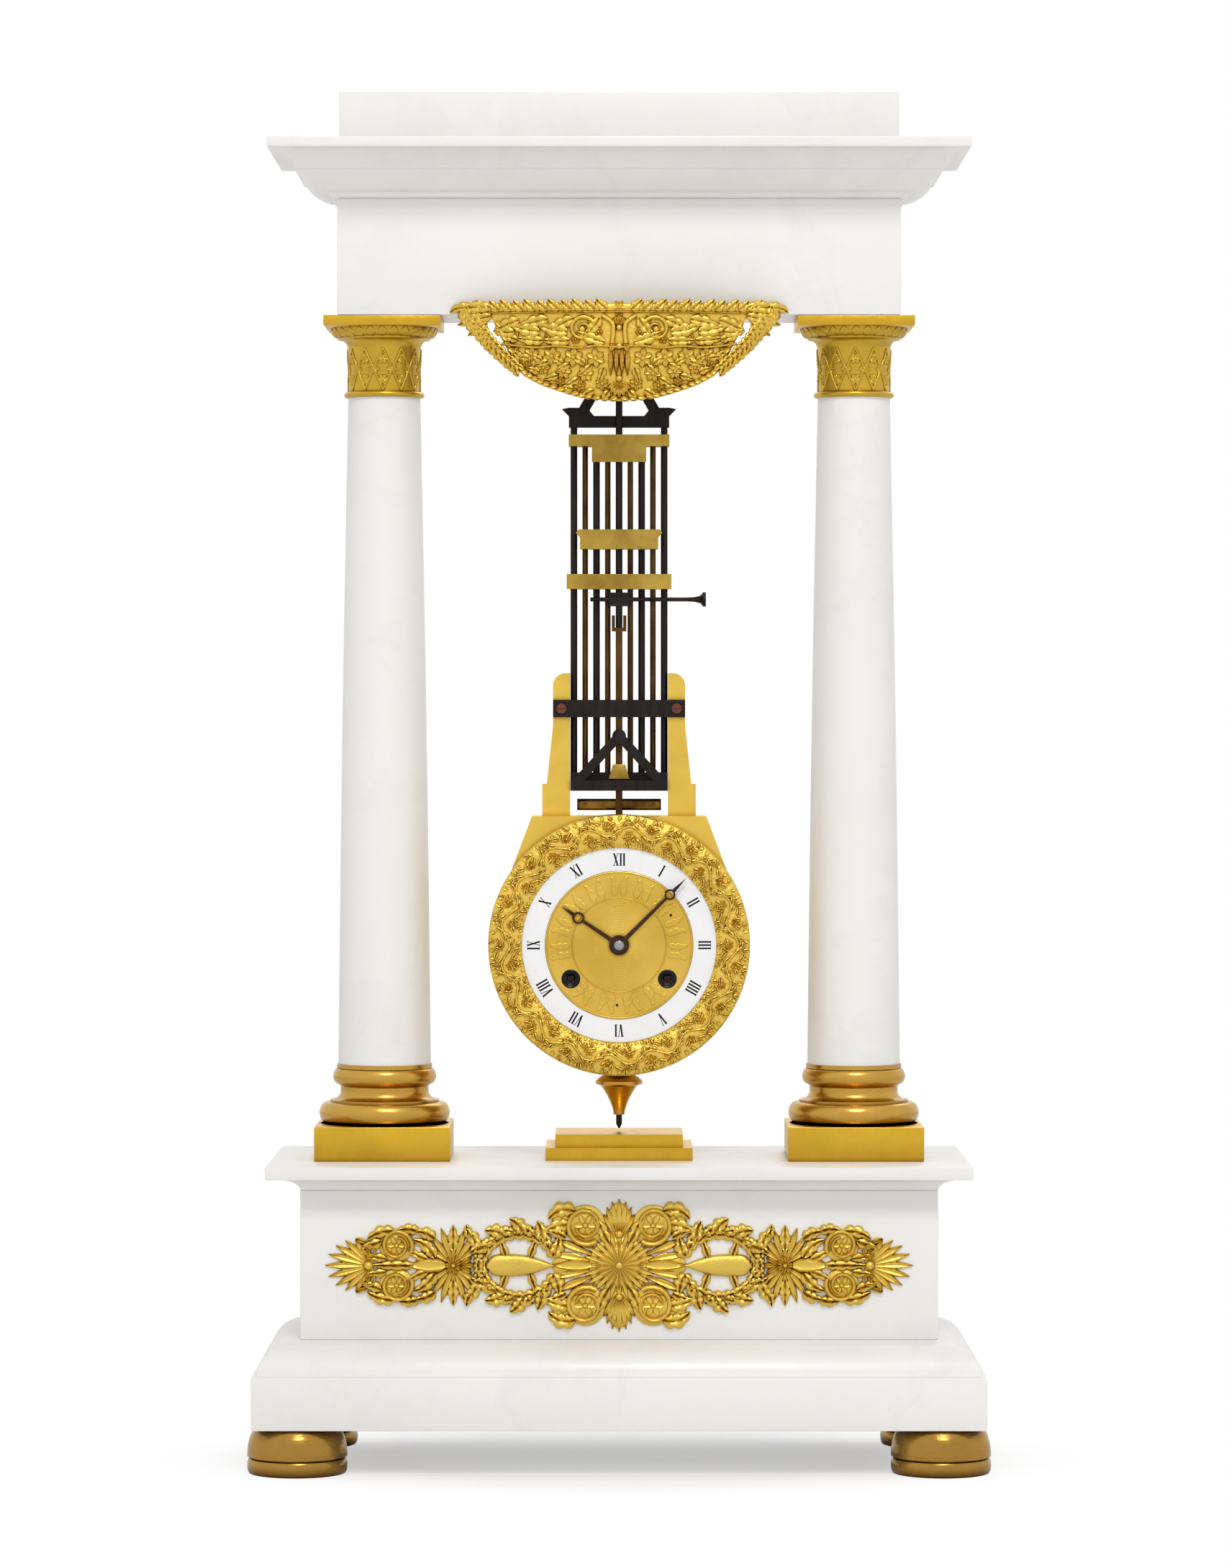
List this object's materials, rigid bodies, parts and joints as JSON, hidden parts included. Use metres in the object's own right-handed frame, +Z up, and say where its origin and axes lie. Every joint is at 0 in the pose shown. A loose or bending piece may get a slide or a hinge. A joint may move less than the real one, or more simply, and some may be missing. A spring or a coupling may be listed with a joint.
{
  "type": "portico clock",
  "caption": "Marble and gilt portico clock: columns carry an entablature, from which a gridiron pendulum swings with the dial and striking movement in its bob.",
  "frame": {"origin": "on the table, under the middle of the clock", "axes": "+X to the right seen from the front, +Y to the back, +Z up"},
  "size_m": [0.3206, 0.1406, 0.5973],
  "materials": {
    "marble": "polished white marble with faint grey veins",
    "gilt": "gilt bronze, matte ground with burnished edges",
    "brass": "worn brass",
    "steel": "darkened steel",
    "blued_steel": "browned steel",
    "enamel": "glossy white enamel on copper"
  },
  "bodies": {
    "case": {"lower_plinth": "marble", "dado_block": "marble", "upper_slab": "marble", "feet": "gilt", "base_mount": "gilt", "column_blocks": "gilt", "column_base_left": "gilt", "column_base_right": "gilt", "column_shaft_left": "marble", "column_shaft_right": "marble", "capital_left": "gilt", "capital_right": "gilt", "tie_rods": "steel", "frieze_block": "marble", "cornice": "marble", "attic_block": "marble", "lambrequin": "gilt", "index_block": "gilt", "suspension_bracket": "steel", "reaction_rod": "steel"},
    "beat_screw": {"beat_screw": "steel"},
    "pendulum": {"hanger": "steel", "steel_rods": "steel", "brass_rods": "brass", "top_bridge": "brass", "upper_cross_bar": "brass", "lower_cross_bar": "brass", "bottom_bar": "steel", "bob_strap": "steel", "strap_screws": "steel", "bob_case": "gilt", "bob_brackets": "gilt", "bezel_ring": "gilt", "chapter_ring": "enamel", "dial_centre": "gilt", "rear_cover": "gilt", "bob_finial": "gilt", "pointer_tip": "steel", "front_plate": "brass", "back_plate": "brass", "pillars": "brass", "bell": "brass"},
    "minute_arbor": {"centre_wheel": "brass", "minute_hand": "blued_steel"},
    "hour_hand": {"hour_hand": "blued_steel"},
    "minute_wheel": {"minute_wheel": "brass"},
    "third_wheel": {"third_wheel": "brass"},
    "escape_wheel": {"escape_wheel": "brass"},
    "anchor": {"anchor": "steel", "crutch": "brass"},
    "intermediate_wheel": {"intermediate_wheel": "brass"},
    "going_barrel": {"going_barrel": "brass"},
    "going_arbor": {"going_arbor": "steel"},
    "strike_barrel": {"strike_barrel": "brass"},
    "strike_arbor": {"strike_arbor": "steel"},
    "strike_second_wheel": {"strike_second_wheel": "brass"},
    "pin_wheel": {"pin_wheel": "brass"},
    "warning_wheel": {"warning_wheel": "brass"},
    "fly": {"fly": "brass"},
    "hammer": {"hammer": "steel"}
  },
  "joints": [
    {"name": "pendulum_swing", "type": "hinge", "parent": "case", "child": "pendulum", "pos_m": [0, 0, 0.4847], "axis": [0, 1, 0], "range_deg": [-4, 4]},
    {"name": "anchor_rock", "type": "hinge", "parent": "pendulum", "child": "anchor", "pos_m": [0, 0, 0.26486], "axis": [0, 1, 0], "range_deg": [-4.6, 4.6]},
    {"name": "beat_screw_turn", "type": "hinge", "parent": "case", "child": "beat_screw", "pos_m": [0, -0.0055, 0.3772], "axis": [1, 0, 0], "range_deg": [-360, 360]},
    {"name": "minute_turn", "type": "hinge", "parent": "pendulum", "child": "minute_arbor", "pos_m": [0, 0, 0.2264], "axis": [0, 1, 0], "continuous": true},
    {"name": "hour_turn", "type": "hinge", "parent": "pendulum", "child": "hour_hand", "pos_m": [0, 0, 0.2264], "axis": [0, 1, 0], "continuous": true},
    {"name": "minute_wheel_turn", "type": "hinge", "parent": "pendulum", "child": "minute_wheel", "pos_m": [0, 0, 0.2144], "axis": [0, 1, 0], "continuous": true},
    {"name": "third_turn", "type": "hinge", "parent": "pendulum", "child": "third_wheel", "pos_m": [-0.00918, 0, 0.23951], "axis": [0, 1, 0], "continuous": true},
    {"name": "escape_turn", "type": "hinge", "parent": "pendulum", "child": "escape_wheel", "pos_m": [0, 0, 0.25137], "axis": [0, 1, 0], "continuous": true},
    {"name": "intermediate_turn", "type": "hinge", "parent": "pendulum", "child": "intermediate_wheel", "pos_m": [0.01425, 0, 0.23369], "axis": [0, 1, 0], "continuous": true},
    {"name": "going_barrel_turn", "type": "hinge", "parent": "pendulum", "child": "going_barrel", "pos_m": [0.021, 0, 0.2117], "axis": [0, 1, 0], "continuous": true},
    {"name": "going_winding", "type": "hinge", "parent": "going_barrel", "child": "going_arbor", "pos_m": [0.021, 0, 0.2117], "axis": [0, 1, 0], "range_deg": [0, 1440]},
    {"name": "pin_turn", "type": "hinge", "parent": "pendulum", "child": "pin_wheel", "pos_m": [-0.02371, 0, 0.24905], "axis": [0, 1, 0], "continuous": true},
    {"name": "second_turn", "type": "hinge", "parent": "pendulum", "child": "strike_second_wheel", "pos_m": [-0.02499, 0, 0.23435], "axis": [0, 1, 0], "continuous": true},
    {"name": "strike_barrel_turn", "type": "hinge", "parent": "pendulum", "child": "strike_barrel", "pos_m": [-0.021, 0, 0.2117], "axis": [0, 1, 0], "continuous": true},
    {"name": "strike_winding", "type": "hinge", "parent": "strike_barrel", "child": "strike_arbor", "pos_m": [-0.021, 0, 0.2117], "axis": [0, 1, 0], "range_deg": [0, 1440]},
    {"name": "warning_turn", "type": "hinge", "parent": "pendulum", "child": "warning_wheel", "pos_m": [-0.01566, 0, 0.2558], "axis": [0, 1, 0], "continuous": true},
    {"name": "fly_turn", "type": "hinge", "parent": "pendulum", "child": "fly", "pos_m": [-0.01854, 0, 0.2637], "axis": [0, 1, 0], "continuous": true},
    {"name": "hammer_lift", "type": "hinge", "parent": "pendulum", "child": "hammer", "pos_m": [-0.03803, 0, 0.24338], "axis": [0, 1, 0], "range_deg": [-12, 0]}
  ],
  "couplings": [
    {"joint": "anchor_rock", "follows": "pendulum_swing", "ratio": 1.1274},
    {"joint": "hour_turn", "follows": "minute_turn", "ratio": 0.083333},
    {"joint": "minute_wheel_turn", "follows": "minute_turn", "ratio": -0.33333},
    {"joint": "third_turn", "follows": "minute_turn", "ratio": -9},
    {"joint": "escape_turn", "follows": "minute_turn", "ratio": 81},
    {"joint": "intermediate_turn", "follows": "minute_turn", "ratio": -0.14286},
    {"joint": "going_barrel_turn", "follows": "minute_turn", "ratio": 0.021429},
    {"joint": "second_turn", "follows": "pin_turn", "ratio": -0.13889},
    {"joint": "strike_barrel_turn", "follows": "pin_turn", "ratio": 0.020833},
    {"joint": "warning_turn", "follows": "pin_turn", "ratio": -6},
    {"joint": "fly_turn", "follows": "pin_turn", "ratio": 30}
  ]
}
